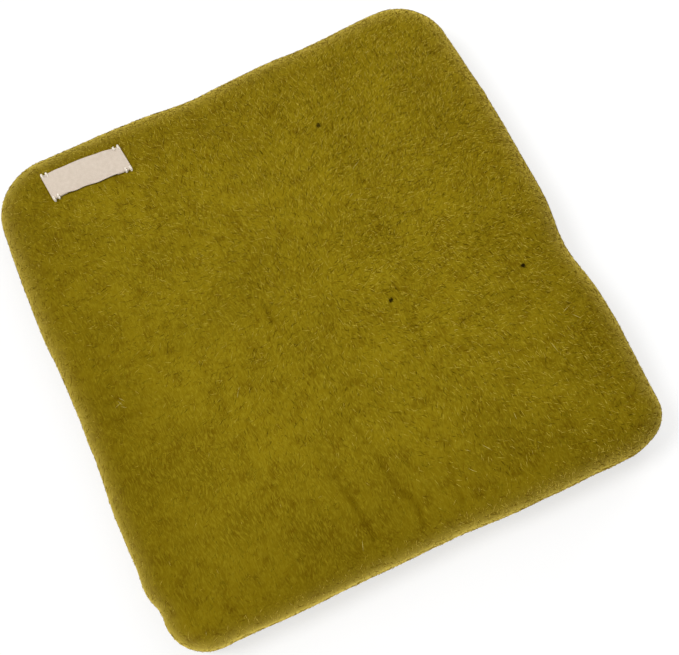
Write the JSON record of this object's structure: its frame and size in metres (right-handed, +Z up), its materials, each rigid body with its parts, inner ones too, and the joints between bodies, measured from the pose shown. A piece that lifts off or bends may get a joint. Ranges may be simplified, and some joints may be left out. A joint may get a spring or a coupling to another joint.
{
  "type": "needle felting mat",
  "caption": "Thick, nearly square pad of felted wool with rounded edges and a small bare tape label, used under the work to take a felting needle's points.",
  "frame": {"origin": "middle of the underside, on the surface that the mat lies on", "axes": "+Z up out of the working face, +X to the right and +Y to the back along the mat's sides, with the label in the corner at -X, +Y"},
  "size_m": [0.203, 0.2108, 0.027],
  "materials": {
    "cover_felt": "olive green wet-felted wool, matt and hairy",
    "core_wool": "undyed carded wool",
    "label_cotton": "bare cream cotton tape, plain weave",
    "tack_thread": "off-white cotton sewing thread"
  },
  "bodies": {
    "root": {"cover_top": "cover_felt", "cover_base": "cover_felt", "core_batt_1": "core_wool", "core_batt_2": "core_wool", "core_batt_3": "core_wool", "core_batt_4": "core_wool", "label_tape": "label_cotton", "label_tack_back_left": "tack_thread", "label_tack_back_right": "tack_thread", "label_tack_front_left": "tack_thread", "label_tack_front_right": "tack_thread"}
  },
  "joints": []
}
